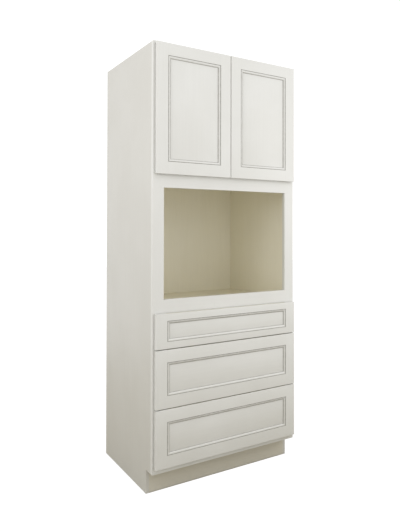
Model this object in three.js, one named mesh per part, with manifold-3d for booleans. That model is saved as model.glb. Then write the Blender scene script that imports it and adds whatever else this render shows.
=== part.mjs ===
// Tall oven housing unit: a framed cabinet, 33 x 84 x 24 inches, with a pair of
// recessed-panel doors over an oven opening and three drawers under it.
//
// Millimetres. +X to the right seen from the front, +Y to the back, +Z up.
// The origin is on the floor, at the middle of the unit's footprint.

import * as THREE from 'three';
import { mergeVertices } from 'three/addons/utils/BufferGeometryUtils.js';
import Module from 'manifold-3d';

const wasm = await Module();
wasm.setup();

// ---------------------------------------------------------------- dimensions

const WIDTH = 838.2;                 // 33 in
const HEIGHT = 2133.6;               // 84 in
const CARCASS_DEPTH = 609.6;         // 24 in, front of the face frame to the back
const FRONT_T = 19.0;                // thickness of doors and drawer fronts
const BUMPER_GAP = 3.0;              // air between the fronts and the face frame
const DEPTH = CARCASS_DEPTH + FRONT_T + BUMPER_GAP;

// planes along Y
const Y_FRONT = -DEPTH / 2;                       // face of doors and drawers
const Y_FRONT_BACK = Y_FRONT + FRONT_T;           // their rear face
const Y_FRAME = Y_FRONT_BACK + BUMPER_GAP;        // face of the face frame
const FRAME_T = 19.05;
const Y_FRAME_BACK = Y_FRAME + FRAME_T;
const Y_BACK = Y_FRAME + CARCASS_DEPTH;           // rear edge of the sides

// planes along X
const X_OUT = WIDTH / 2;
const SIDE_T = 15.875;
const X_SIDE = X_OUT - SIDE_T;                    // inner face of a side panel
const STILE_W = 38.1;
const X_STILE = X_OUT - STILE_W;                  // inner edge of a stile
const OVEN_STILE_W = 57.15;                       // stile beside the oven opening
const X_OVEN = X_OUT - OVEN_STILE_W;

// planes along Z
const TOE_H = 112.0;
const TOE_SETBACK = 68.0;
const OVEN_Z0 = 920.75, OVEN_Z1 = 1447.8;
const BOTTOM_RAIL_Z1 = 150.1;
const LOWER_RAIL = [393.65, 431.75];
const UPPER_RAIL = [670.75, 708.85];
const BELOW_OVEN_Z0 = 828.0;
const ABOVE_OVEN_Z1 = 1540.7;
const TOP_RAIL_Z0 = HEIGHT - 38.1;

const PANEL_T = 15.875;              // floors and decks
const FLOOR_Z1 = 142.0;              // top of the cabinet floor
const DECK_Z1 = 868.0;               // top of the deck under the oven
const CUPBOARD_Z1 = 1540.7;          // top of the upper cupboard's floor
const TOP_Z1 = HEIGHT - 12.7;        // top face of the top panel
const BACK_T = 6.35;                 // let in between the sides, a hair inside their rear edges
const Y_BACK_PANEL = Y_BACK - 0.3 - BACK_T; // front face of the back panel
const SHELF_Z1 = 1836.0;
const SHELF_T = 19.05;
// rows of blind holes for the shelf pins, 32 mm apart
const PIN_R = 2.5, PIN_DEEP = 11.0, PIN_PITCH = 32.0;
const PIN_Z = SHELF_Z1 - SHELF_T - 2.5;           // the holes that hold the shelf
const PIN_ROWS = [Y_FRAME_BACK + 60.0, Y_BACK_PANEL - 60.0];

// fronts
const DOOR = { x0: 1.8, x1: 409.7, z0: 1510.0, z1: 2127.4, stile: 58.7, rail: 58.7 };
const DRAWER_X = 411.4;
const DRAWERS = [
  // front z0, z1, rail height | box z0, z1 | slide centre height
  { z0: 691.8, z1: 856.0, rail: 33.3, b0: 720.0, b1: 808.0, slide: 764.0 },
  { z0: 414.8, z1: 687.8, rail: 58.7, b0: 444.0, b1: 636.0, slide: 540.0 },
  { z0: 137.4, z1: 410.8, rail: 58.7, b0: 163.0, b1: 355.0, slide: 259.0 },
];
const DRAWER_STILE = 58.7;
const PANEL_DEPTH = 6.4;             // how far a front's panel lies behind its face
const PANEL_THICK = 5.6;

// drawer boxes and their telescopic slides
const BOX_X = 368.3;
const BOX_LEN = 533.0;
const BOX_SIDE = 15.0;
const BOX_BOTTOM_UP = 12.0;
const BOX_BOTTOM_T = 6.0;
const SLIDE_LEN = 533.0;
const SLIDE_MID_LEN = 500.0;

// hinge, measured from the closed door's outer rear corner:
// u runs inwards across the door, w runs back into the cabinet
const HINGE_PIVOT = { u: 8.0, w: -12.5 };
const ARM_PIVOT = { u: 34.0, w: 4.5 };
const CUP_U = 20.6, CUP_R = 17.4, CUP_DEEP = 11.5;
const HINGE_Z = [DOOR.z0 + 82.0, DOOR.z1 - 82.0];

// ------------------------------------------------------------------- helpers

// an axis-aligned board between exact planes
function board(x0, x1, y0, y1, z0, z1) {
  const g = new THREE.BoxGeometry(1, 1, 1);
  const p = g.attributes.position;
  for (let i = 0; i < p.count; i++) {
    p.setXYZ(i, p.getX(i) < 0 ? x0 : x1, p.getY(i) < 0 ? y0 : y1, p.getZ(i) < 0 ? z0 : z1);
  }
  return weld(g);
}

// one closed skin with shared corners
function weld(g) {
  const h = g.clone();
  h.deleteAttribute('normal');
  h.deleteAttribute('uv');
  return mergeVertices(h, 1e-4);
}

// an outline extruded between two planes of one axis:
// 'x' takes (y, z) points, 'y' takes (x, z) points, 'z' takes (x, y) points
function prism(points, axis, a, b) {
  const shape = new THREE.Shape(points.map(([u, v]) => new THREE.Vector2(u, v)));
  const g = new THREE.ExtrudeGeometry(shape, { depth: 1, steps: 1, bevelEnabled: false });
  const p = g.attributes.position;
  for (let i = 0; i < p.count; i++) {
    const u = p.getX(i), v = p.getY(i), w = p.getZ(i) < 0.5 ? a : b;
    if (axis === 'x') p.setXYZ(i, w, u, v);
    if (axis === 'y') p.setXYZ(i, u, w, v);
    if (axis === 'z') p.setXYZ(i, u, v, w);
  }
  const h = weld(g);
  return axis === 'y' ? flip(h) : h;
}

function flip(g) {
  const h = g.clone(), idx = h.index.array;
  for (let i = 0; i < idx.length; i += 3) [idx[i], idx[i + 1]] = [idx[i + 1], idx[i]];
  return h;
}

// the same piece for the other side of the unit
function mirror(g) {
  const h = g.clone(), p = h.attributes.position;
  for (let i = 0; i < p.count; i++) p.setX(i, -p.getX(i));
  return flip(h);
}

const solid = (g) => new wasm.Manifold(new wasm.Mesh({
  numProp: 3,
  vertProperties: new Float32Array(g.attributes.position.array),
  triVerts: new Uint32Array(g.index.array),
}));

function fromSolid(m) {
  const mesh = m.getMesh();
  const g = new THREE.BufferGeometry();
  const n = mesh.numProp, v = mesh.vertProperties, pos = new Float32Array(v.length / n * 3);
  for (let i = 0; i < v.length / n; i++) pos.set(v.subarray(i * n, i * n + 3), i * 3);
  g.setAttribute('position', new THREE.BufferAttribute(pos, 3));
  g.setIndex(new THREE.BufferAttribute(new Uint32Array(mesh.triVerts), 1));
  return g;
}

const join = (...gs) => fromSolid(gs.map(solid).reduce((a, b) => a.add(b)));
const cut = (g, ...tools) => fromSolid(tools.map(solid).reduce((a, b) => a.subtract(b), solid(g)));

// a rod with its axis along X, Y or Z
function rod(r, axis, cu, cv, a, b, n = 24) {
  const pts = [];
  for (let i = 0; i < n; i++) {
    const t = (i + 0.5) / n * 2 * Math.PI;
    pts.push([cu + r * Math.cos(t), cv + r * Math.sin(t)]);
  }
  return prism(pts, axis, a, b);
}

// a rectangular ring with mitred corners. Each profile point is {m, d, y}:
// m = 0 counts d from the outer edge, m = 1 from the inner edge of the member's
// flat face; y is the depth. The profile runs once round the member's section.
function mitredRing(r, stile, rail, profile) {
  const pos = [], idx = [], n = profile.length;
  for (const { m, d, y } of profile) {
    const dx = m * stile + d, dz = m * rail + d;
    pos.push(r.x0 + dx, y, r.z0 + dz, r.x1 - dx, y, r.z0 + dz,
      r.x1 - dx, y, r.z1 - dz, r.x0 + dx, y, r.z1 - dz);
  }
  for (let i = 0; i < n; i++) {
    const j = (i + 1) % n;
    for (let k = 0; k < 4; k++) {
      const l = (k + 1) % 4, a = 4 * i + k, b = 4 * i + l, c = 4 * j + l, d = 4 * j + k;
      idx.push(a, b, c, a, c, d);
    }
  }
  const g = new THREE.BufferGeometry();
  g.setAttribute('position', new THREE.Float32BufferAttribute(pos, 3));
  g.setIndex(idx);
  return g;
}

// outline of a strip of half-width h that follows a bent line
function strip(line, h) {
  const left = [], right = [];
  line.forEach(([x, y], i) => {
    const a = line[Math.max(i - 1, 0)], b = line[Math.min(i + 1, line.length - 1)];
    const d0 = new THREE.Vector2(x - a[0], y - a[1]).normalize();
    const d1 = new THREE.Vector2(b[0] - x, b[1] - y).normalize();
    if (i === 0) d0.copy(d1);
    if (i === line.length - 1) d1.copy(d0);
    const t = d0.clone().add(d1).normalize();
    const k = h / Math.max(0.5, t.dot(d0));
    left.push([x - t.y * k, y + t.x * k]);
    right.push([x + t.y * k, y - t.x * k]);
  });
  return left.reverse().concat(right);
}

// ----------------------------------------------------------------- materials

const finish = (color, roughness, metalness) => new THREE.MeshStandardMaterial({ color, roughness, metalness });
const PAINT = [0xdcd8cf, 0.45, 0.0];
const SIDE_PAINT = [0xccc9ba, 0.5, 0.0];
const INTERIOR = [0xb3aa8a, 0.6, 0.0];
const KICK = [0xa39c88, 0.6, 0.0];
const BIRCH = [0xd2b98f, 0.55, 0.0];
const STEEL = [0xb9bcc0, 0.35, 1.0];
const NICKEL = [0xc4c2bd, 0.3, 1.0];

const unit = new THREE.Group();
function add(parent, name, geometry, look) {
  const mesh = new THREE.Mesh(geometry, finish(...look));
  mesh.name = name;
  parent.add(mesh);
}

// ------------------------------------------------------------------- carcass

const carcass = new THREE.Group();
unit.add(carcass);

// side panels, notched at the foot for the toe space
const sideOutline = [
  [Y_FRAME + TOE_SETBACK, 0], [Y_BACK, 0], [Y_BACK, HEIGHT],
  [Y_FRAME_BACK, HEIGHT], [Y_FRAME_BACK, TOE_H], [Y_FRAME + TOE_SETBACK, TOE_H],
];
const pinHoles = [];
for (const y of PIN_ROWS) {
  for (let k = -5; k <= 5; k++) {
    pinHoles.push(rod(PIN_R, 'x', y, PIN_Z + k * PIN_PITCH, X_SIDE - 1, X_SIDE + PIN_DEEP, 12));
  }
}
const rightSide = cut(prism(sideOutline, 'x', X_SIDE, X_OUT), ...pinHoles);
add(carcass, 'left_side_panel', mirror(rightSide), SIDE_PAINT);
add(carcass, 'right_side_panel', rightSide, SIDE_PAINT);

add(carcass, 'top_panel', board(-X_SIDE, X_SIDE, Y_FRAME_BACK, Y_BACK_PANEL, TOP_Z1 - PANEL_T, TOP_Z1), INTERIOR);
add(carcass, 'upper_floor_panel', board(-X_SIDE, X_SIDE, Y_FRAME_BACK, Y_BACK_PANEL, CUPBOARD_Z1 - PANEL_T, CUPBOARD_Z1), INTERIOR);
add(carcass, 'oven_deck_panel', board(-X_SIDE, X_SIDE, Y_FRAME_BACK, Y_BACK_PANEL, DECK_Z1 - PANEL_T, DECK_Z1), INTERIOR);
add(carcass, 'bottom_panel', board(-X_SIDE, X_SIDE, Y_FRAME_BACK, Y_BACK_PANEL, FLOOR_Z1 - PANEL_T, FLOOR_Z1), INTERIOR);
add(carcass, 'back_panel', board(-X_SIDE, X_SIDE, Y_BACK_PANEL, Y_BACK_PANEL + BACK_T, 0, HEIGHT), INTERIOR);
add(carcass, 'toe_kick_board', board(-X_SIDE, X_SIDE, Y_FRAME + TOE_SETBACK + 0.3, Y_FRAME + TOE_SETBACK + 0.3 + PANEL_T, 0, FLOOR_Z1 - PANEL_T), KICK);
add(carcass, 'adjustable_shelf', board(-X_SIDE + 1.2, X_SIDE - 1.2, Y_FRAME_BACK + 24, Y_BACK_PANEL - 2, SHELF_Z1 - SHELF_T, SHELF_Z1), INTERIOR);

// ---------------------------------------------------------------- face frame

// a stile is 38 mm wide behind the doors and drawers and 57 mm wide beside the
// oven opening, where a jamb strip is glued on between the two oven rails
const stileOutline = [
  [X_STILE, TOE_H], [X_OUT, TOE_H], [X_OUT, HEIGHT], [X_STILE, HEIGHT],
  [X_STILE, OVEN_Z1], [X_OVEN, OVEN_Z1], [X_OVEN, OVEN_Z0], [X_STILE, OVEN_Z0],
];
const rightStile = prism(stileOutline, 'y', Y_FRAME, Y_FRAME_BACK);
add(carcass, 'left_stile', mirror(rightStile), PAINT);
add(carcass, 'right_stile', rightStile, PAINT);

const rail = (z0, z1) => board(-X_STILE, X_STILE, Y_FRAME, Y_FRAME_BACK, z0, z1);
add(carcass, 'top_rail', rail(TOP_RAIL_Z0, HEIGHT), PAINT);
add(carcass, 'rail_above_oven', rail(OVEN_Z1, ABOVE_OVEN_Z1), PAINT);
add(carcass, 'rail_below_oven', rail(BELOW_OVEN_Z0, OVEN_Z0), PAINT);
add(carcass, 'upper_drawer_rail', rail(...UPPER_RAIL), PAINT);
add(carcass, 'lower_drawer_rail', rail(...LOWER_RAIL), PAINT);
add(carcass, 'bottom_rail', rail(TOE_H, BOTTOM_RAIL_Z1), PAINT);

// ------------------------------------------------- recessed-panel front parts

// section of a front's frame member: eased outer arris, flat face, a narrow
// quirk, a rounded bead that falls to the panel, the panel groove, the back
function memberProfile() {
  const Y = Y_FRONT, P = PANEL_DEPTH;
  const pts = [
    { m: 0, d: 0, y: Y_FRONT_BACK },
    { m: 0, d: 0, y: Y + 1.5 }, { m: 0, d: 0.2, y: Y + 0.75 }, { m: 0, d: 0.75, y: Y + 0.2 }, { m: 0, d: 1.5, y: Y },
    { m: 1, d: 0, y: Y }, { m: 1, d: 0.35, y: Y + 1.5 }, { m: 1, d: 1.6, y: Y + 1.8 },
    { m: 1, d: 2.3, y: Y + 0.95 }, { m: 1, d: 4.0, y: Y + 0.6 }, { m: 1, d: 6.2, y: Y + 0.8 },
    { m: 1, d: 8.4, y: Y + 1.5 }, { m: 1, d: 10.3, y: Y + 2.6 }, { m: 1, d: 11.8, y: Y + 3.9 },
    { m: 1, d: 12.9, y: Y + 5.2 }, { m: 1, d: 13.4, y: Y + P - 0.1 },
    // groove that holds the panel, 10 mm deep
    { m: 1, d: 3.4, y: Y + P - 0.1 }, { m: 1, d: 3.4, y: Y + P + PANEL_THICK + 0.1 },
    { m: 1, d: 13.4, y: Y + P + PANEL_THICK + 0.1 }, { m: 1, d: 13.4, y: Y_FRONT_BACK },
  ];
  return pts;
}
const frontFrame = (r, stile, railH) => mitredRing(r, stile, railH, memberProfile());
const frontPanel = (r, stile, railH) => board(
  r.x0 + stile + 4.6, r.x1 - stile - 4.6, Y_FRONT + PANEL_DEPTH, Y_FRONT + PANEL_DEPTH + PANEL_THICK,
  r.z0 + railH + 4.6, r.z1 - railH - 4.6);

// ------------------------------------------------------------ concealed hinge

// hinge parts are drawn for the right door: its outer rear corner is the datum
const hx = (u) => DOOR.x1 - u;
const hy = (w) => Y_FRONT_BACK + w;

function hingeCup(z) {
  const N = 24, cy = (w) => hy(w);
  const wall = new THREE.LatheGeometry([
    [0, -CUP_DEEP], [CUP_R, -CUP_DEEP], [CUP_R, 0], [CUP_R + 1.6, 0], [CUP_R + 1.6, 1.2],
    [CUP_R - 1.2, 1.2], [CUP_R - 1.2, -CUP_DEEP + 1.2], [0, -CUP_DEEP + 1.2],
  ].map(([r, y]) => new THREE.Vector2(r, y)), N);
  const p = wall.attributes.position;
  for (let i = 0; i < p.count; i++) {
    const y = p.getY(i);
    p.setXYZ(i, p.getX(i) + hx(CUP_U), cy(y), p.getZ(i) + z);
  }
  // flange with its two screw ears, opened inside the cup's mouth
  const ears = [];
  for (const [sx, sz] of [[1, -1], [1, 1], [-1, 1], [-1, -1]]) {
    for (let i = 0; i <= 3; i++) {
      const q = (sx * sz > 0 ? i : 3 - i) / 3 * Math.PI / 2;
      ears.push([hx(CUP_U) + sx * (2.5 + 4.5 * Math.cos(q)), z + sz * (24.5 + 4.5 * Math.sin(q))]);
    }
  }
  let flange = prism(orderAround(ears, hx(CUP_U), z), 'y', hy(0), hy(1.2));
  const mouth = rod(CUP_R - 1.2, 'y', hx(CUP_U), z, hy(-1), hy(3), 24);
  const holes = [-1, 1].map((s) => rod(2.1, 'y', hx(CUP_U), z + s * 24, hy(-1), hy(3), 12));
  flange = cut(flange, mouth, ...holes);
  return join(weldLathe(wall), flange);
}
function orderAround(points, cx, cy) {
  return points.slice().sort((a, b) => Math.atan2(a[1] - cy, a[0] - cx) - Math.atan2(b[1] - cy, b[0] - cx));
}
// a turned shape's seam and poles are welded into one skin
function weldLathe(g) {
  const h = weld(g), idx = h.index.array, keep = [];
  for (let i = 0; i < idx.length; i += 3) {
    const [a, b, c] = [idx[i], idx[i + 1], idx[i + 2]];
    if (a !== b && b !== c && a !== c) keep.push(a, b, c);
  }
  h.setIndex(keep);
  return h;
}

function hingeArm(z) {
  const line = [[ARM_PIVOT.u, ARM_PIVOT.w], [27.6, -1.6], [21.5, -6.2], [15.5, -7.3], [10.4, -6.7]];
  const H = 4.5;
  const body = prism(strip(line.map(([u, w]) => [hx(u), hy(w)]), 1.3), 'z', z - H, z + H);
  const boss = rod(2.8, 'z', hx(ARM_PIVOT.u), hy(ARM_PIVOT.w), z - H, z + H, 20);
  const tip = rod(1.8, 'z', hx(10.4), hy(-6.7), z - H, z + H, 16);
  const hole = rod(1.5, 'z', hx(ARM_PIVOT.u), hy(ARM_PIVOT.w), z - H - 1, z + H + 1, 16);
  return cut(join(body, boss, tip), hole);
}

function hingePlate(z) {
  const edge = DOOR.x1 - X_STILE;                 // u of the stile's inner edge
  const base = board(hx(edge + 2.0), X_STILE, hy(5.0), hy(BUMPER_GAP + 17.0), z - 27, z + 27);
  const parts = [base];
  for (const s of [-1, 1]) {
    const z0 = Math.min(z + s * 4.9, z + s * 6.5), z1 = Math.max(z + s * 4.9, z + s * 6.5);
    parts.push(prism([
      [hx(edge + 1.0), hy(6.0)], [hx(edge + 1.0), hy(18.0)], [hx(edge + 5.4), hy(18.0)], [hx(36.6), hy(9.5)],
      [hx(36.9), hy(3.6)], [hx(35.4), hy(2.2)], [hx(33.0), hy(2.0)], [hx(31.4), hy(3.2)],
    ].reverse(), 'z', z0, z1));
  }
  parts.push(rod(1.2, 'z', hx(ARM_PIVOT.u), hy(ARM_PIVOT.w), z - 6.5, z + 6.5, 12));
  const body = join(...parts);
  // two fixing holes through the plate, one above and one below the arm
  const hole = (s) => {
    const pts = [];
    for (let i = 0; i < 12; i++) {
      const t = (i + 0.5) / 12 * 2 * Math.PI;
      pts.push([hy(12.5) + 2.1 * Math.cos(t), z + s * 18 + 2.1 * Math.sin(t)]);
    }
    return prism(pts, 'x', hx(edge + 6), X_STILE + 4);
  };
  return cut(body, hole(-1), hole(1));
}

// --------------------------------------------------------------------- doors

const doorFrame = (() => {
  const ring = frontFrame(DOOR, DOOR.stile, DOOR.rail);
  const bores = HINGE_Z.map((z) => rod(CUP_R + 0.3, 'y', hx(CUP_U), z, hy(-CUP_DEEP - 0.5), hy(2), 24));
  return cut(ring, ...bores);
})();
const doorPanel = frontPanel(DOOR, DOOR.stile, DOOR.rail);

for (const [side, m] of [['left', mirror], ['right', (g) => g]]) {
  const door = new THREE.Group();
  const arms = new THREE.Group();
  unit.add(door, arms);
  add(door, `${side}_door_frame`, m(doorFrame), PAINT);
  add(door, `${side}_door_panel`, m(doorPanel), PAINT);
  ['lower', 'upper'].forEach((level, i) => {
    add(door, `${side}_${level}_hinge_cup`, m(hingeCup(HINGE_Z[i])), NICKEL);
    add(arms, `${side}_${level}_hinge_arm`, m(hingeArm(HINGE_Z[i])), NICKEL);
    add(carcass, `${side}_${level}_hinge_plate`, m(hingePlate(HINGE_Z[i])), NICKEL);
  });
}

// ------------------------------------------------------- drawers and slides

// telescopic slide, right-hand side. s is measured outwards from the box's side.
// The members nest with a 3.4 mm race between their flanges for the balls
function slideMember(kind, zc) {
  const sx = (s) => BOX_X + s;
  const C = (web0, web1, tip, h, t, y0, y1) => {
    const open = tip < web0;
    const a = open ? tip : web0, b = open ? web1 : tip;
    const inner0 = open ? tip : web1, inner1 = open ? web0 : tip;
    const pts = open
      ? [[a, -h], [b, -h], [b, h], [a, h], [a, h - t], [inner1, h - t], [inner1, -h + t], [a, -h + t]]
      : [[a, -h], [b, -h], [b, -h + t], [inner0, -h + t], [inner0, h - t], [b, h - t], [b, h], [a, h]];
    return prism(pts.map(([s, z]) => [sx(s), zc + z]), 'y', y0, y1);
  };
  const y0 = Y_FRAME + 2.5;
  if (kind === 'cabinet') {
    const member = C(11.5, X_STILE - BOX_X, 2.2, 22.5, 1.2, y0, y0 + SLIDE_LEN);
    // feet that reach out to the side panel behind the stile and near the back
    const feet = [[Y_FRAME_BACK + 6, Y_FRAME_BACK + 30], [y0 + SLIDE_LEN - 30, y0 + SLIDE_LEN - 6]]
      .map(([a, b]) => board(X_STILE - 0.6, X_SIDE, a, b, zc - 14, zc + 14));
    return join(member, ...feet);
  }
  if (kind === 'middle') return C(9.6, 10.8, 1.8, 17.9, 1.2, y0 + 4, y0 + 4 + SLIDE_MID_LEN);
  return C(0, 1.2, 8.4, 13.3, 1.2, y0, y0 + SLIDE_LEN - 8);
}

DRAWERS.forEach((d, i) => {
  const n = i + 1;
  const drawer = new THREE.Group();
  const middle = new THREE.Group();
  unit.add(drawer, middle);
  const r = { x0: -DRAWER_X, x1: DRAWER_X, z0: d.z0, z1: d.z1 };
  add(drawer, `drawer_${n}_front_frame`, frontFrame(r, DRAWER_STILE, d.rail), PAINT);
  add(drawer, `drawer_${n}_front_panel`, frontPanel(r, DRAWER_STILE, d.rail), PAINT);

  // glued box with its bottom housed in the four sides
  const y0 = Y_FRONT_BACK, y1 = y0 + BOX_LEN;
  const inX = BOX_X - BOX_SIDE, inY0 = y0 + BOX_SIDE, inY1 = y1 - BOX_SIDE;
  const bottom = d.b0 + BOX_BOTTOM_UP;
  const box = cut(board(-BOX_X, BOX_X, y0, y1, d.b0, d.b1),
    board(-inX, inX, inY0, inY1, bottom + BOX_BOTTOM_T, d.b1 + 5),
    board(-inX, inX, inY0, inY1, d.b0 - 5, bottom));
  add(drawer, `drawer_${n}_box`, box, BIRCH);

  for (const [side, m] of [['left', mirror], ['right', (g) => g]]) {
    add(carcass, `drawer_${n}_${side}_slide_cabinet_member`, m(slideMember('cabinet', d.slide)), STEEL);
    add(middle, `drawer_${n}_${side}_slide_middle_member`, m(slideMember('middle', d.slide)), STEEL);
    add(drawer, `drawer_${n}_${side}_slide_drawer_member`, m(slideMember('drawer', d.slide)), STEEL);
  }
});

export default unit;
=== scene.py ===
import math

import bmesh
import bpy
from mathutils import Matrix, Vector

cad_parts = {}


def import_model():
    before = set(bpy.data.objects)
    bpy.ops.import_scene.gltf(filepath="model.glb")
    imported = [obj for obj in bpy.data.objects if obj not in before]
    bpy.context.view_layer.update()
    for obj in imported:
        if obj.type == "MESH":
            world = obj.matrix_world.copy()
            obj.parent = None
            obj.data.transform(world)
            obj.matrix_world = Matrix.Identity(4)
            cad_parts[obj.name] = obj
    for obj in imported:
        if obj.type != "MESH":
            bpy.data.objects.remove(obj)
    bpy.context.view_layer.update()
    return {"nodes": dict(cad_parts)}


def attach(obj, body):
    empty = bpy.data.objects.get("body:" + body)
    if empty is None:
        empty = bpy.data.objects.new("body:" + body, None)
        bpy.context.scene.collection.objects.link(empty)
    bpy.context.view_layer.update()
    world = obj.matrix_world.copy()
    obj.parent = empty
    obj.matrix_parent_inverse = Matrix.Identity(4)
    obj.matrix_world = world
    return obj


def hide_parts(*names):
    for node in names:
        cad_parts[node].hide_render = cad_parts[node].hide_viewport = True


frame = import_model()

# Tall oven housing unit. Metres, +X to the right, +Y to the back, +Z up, with
# the origin on the floor at the middle of the footprint. Shapes are written in
# millimetres below and scaled as they are made.

NODES = frame["nodes"]
MM = 0.001

# ------------------------------------------------------------- dimensions, mm

Y_FRONT, Y_FRONT_BACK = -315.8, -296.8
Y_FRAME, Y_FRAME_BACK = -293.8, -274.75
Y_BACK, Y_BACK_PANEL, Y_BACK_REAR = 315.8, 309.15, 315.5
X_OUT, X_SIDE, X_STILE = 419.1, 403.225, 381.0
HEIGHT = 2133.6
DOOR = dict(x0=1.8, x1=409.7, z0=1510.0, z1=2127.4)
DOOR_MEMBER = (58.7, 58.7)
DRAWERS = [
    dict(x0=-411.4, x1=411.4, z0=691.8, z1=856.0, stile=58.7, rail=33.3, b0=720.0, b1=808.0, slide=764.0),
    dict(x0=-411.4, x1=411.4, z0=414.8, z1=687.8, stile=58.7, rail=58.7, b0=444.0, b1=636.0, slide=540.0),
    dict(x0=-411.4, x1=411.4, z0=137.4, z1=410.8, stile=58.7, rail=58.7, b0=163.0, b1=355.0, slide=259.0),
]
PANEL_DEPTH, PANEL_THICK = 6.4, 5.6
BEAD_W = 13.4
BOX_X, BOX_LEN, BOX_SIDE = 368.3, 533.0, 15.0
BOX_Y0 = Y_FRONT_BACK
SLIDE_Y0 = Y_FRAME + 2.5
HINGE_Z = (1592.0, 2045.4)
CUP_U, CUP_R = 20.6, 17.4
SHELF_BOTTOM = 1816.95
PIN_ROWS = (-214.75, 249.15)
TOP_MID, CUPBOARD_MID, DECK_MID, FLOOR_MID = 2113.0, 1532.8, 860.1, 134.1


# --------------------------------------------------------------- material kit

class Look:
    """A material whose nodes are written as expressions."""

    def __init__(self, name):
        self.mat = bpy.data.materials.new(name)
        self.mat.use_nodes = True
        self.tree = self.mat.node_tree
        self.tree.nodes.clear()
        out = self.tree.nodes.new("ShaderNodeOutputMaterial")
        self.bsdf = self.tree.nodes.new("ShaderNodeBsdfPrincipled")
        self.tree.links.new(self.bsdf.outputs[0], out.inputs["Surface"])
        self._object = None

    def put(self, socket, value):
        if isinstance(value, bpy.types.NodeSocket):
            self.tree.links.new(value, socket)
        elif value is not None:
            if hasattr(socket.default_value, "__len__") and len(socket.default_value) == 4 and len(value) == 3:
                value = (*value, 1.0)
            socket.default_value = value

    def node(self, kind, inputs=None, **settings):
        n = self.tree.nodes.new(kind)
        for k, v in settings.items():
            setattr(n, k, v)
        for k, v in (inputs or {}).items():
            self.put(n.inputs[k], v)
        return n

    def here(self):
        if self._object is None:
            self._object = self.node("ShaderNodeTexCoord").outputs["Object"]
        return self._object

    def stretched(self, sx, sy, sz, vector=None):
        return self.node("ShaderNodeVectorMath", {0: vector or self.here(), 1: (sx, sy, sz)}, operation="MULTIPLY").outputs[0]

    def vadd(self, a, b):
        return self.node("ShaderNodeVectorMath", {0: a, 1: b}, operation="ADD").outputs[0]

    def split(self, vector):
        return self.node("ShaderNodeSeparateXYZ", {0: vector}).outputs

    def math(self, op, a, b=None, c=None, clamp=False):
        n = self.node("ShaderNodeMath", operation=op, use_clamp=clamp)
        for i, v in enumerate((a, b, c)):
            self.put(n.inputs[i], v)
        return n.outputs[0]

    def step(self, value, low, high, to0=0.0, to1=1.0):
        """Runs smoothly from to0 at low to to1 at high."""
        n = self.node("ShaderNodeMapRange", interpolation_type="SMOOTHSTEP")
        for i, v in enumerate((value, low, high, to0, to1)):
            self.put(n.inputs[i], v)
        return n.outputs[0]

    def linear(self, value, low, high, to0, to1):
        n = self.node("ShaderNodeMapRange", interpolation_type="LINEAR")
        for i, v in enumerate((value, low, high, to0, to1)):
            self.put(n.inputs[i], v)
        return n.outputs[0]

    def noise(self, vector, scale, detail=2.0, rough=0.5, warp=0.0):
        return self.node("ShaderNodeTexNoise", {"Vector": vector, "Scale": scale, "Detail": detail,
                                                "Roughness": rough, "Distortion": warp}).outputs["Fac"]

    def cells(self, vector, scale, feature="F1"):
        return self.node("ShaderNodeTexVoronoi", {"Vector": vector, "Scale": scale}, feature=feature).outputs["Distance"]

    def mix(self, share, a, b, blend="MIX"):
        n = self.node("ShaderNodeMix", data_type="RGBA", blend_type=blend)
        self.put(n.inputs[0], share)
        self.put(n.inputs[6], a)
        self.put(n.inputs[7], b)
        return n.outputs[2]

    def shade(self, colour, share):
        """colour times share, which is a number socket."""
        n = self.node("ShaderNodeMix", data_type="RGBA", blend_type="MULTIPLY")
        self.put(n.inputs[0], 1.0)
        self.put(n.inputs[6], colour)
        grey = self.node("ShaderNodeCombineColor", {0: share, 1: share, 2: share}).outputs[0]
        self.put(n.inputs[7], grey)
        return n.outputs[2]

    def bump(self, height, strength, distance, normal=None):
        n = self.node("ShaderNodeBump", {"Height": height, "Strength": strength, "Distance": distance})
        if normal is not None:
            self.put(n.inputs["Normal"], normal)
        return n.outputs[0]

    def done(self, colour, rough, normal=None, metal=None, **constants):
        self.put(self.bsdf.inputs["Base Color"], colour)
        self.put(self.bsdf.inputs["Roughness"], rough)
        if normal is not None:
            self.put(self.bsdf.inputs["Normal"], normal)
        if metal is not None:
            self.bsdf.inputs["Metallic"].default_value = metal
        for k, v in constants.items():
            self.bsdf.inputs[k.replace("_", " ")].default_value = v
        return self.mat


# ------------------------------------------------------------------ materials

PAINT_A = (0.669, 0.664, 0.636)
PAINT_B = (0.649, 0.643, 0.612)
# grey-brown glaze colour, also used to paint shade: the heavier drawer glaze and the contact shadow at a board's foot
GLAZE_AND_SHADE = (0.150, 0.137, 0.108)


def paint_tone(k, grain):
    """Sprayed satin paint over wood: its colour, its stipple and the grain that telegraphs through."""
    p = k.here()
    drift = k.noise(p, 3.1, 3.0, 0.55)
    colour = k.mix(k.step(drift, 0.35, 0.65), PAINT_A, PAINT_B)
    along = {"x": (3.0, 70.0, 160.0), "y": (70.0, 3.0, 160.0), "z": (160.0, 70.0, 3.0)}[grain]
    fibre = k.noise(k.stretched(*along), 1.0, 4.0, 0.6, 0.4)
    colour = k.shade(colour, k.linear(fibre, 0.2, 0.8, 0.978, 1.012))
    stipple = k.noise(p, 950.0, 2.0, 0.6)
    height = k.math("ADD", k.math("MULTIPLY", fibre, 0.55), k.math("MULTIPLY", stipple, 0.45))
    return colour, fibre, stipple, height


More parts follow.
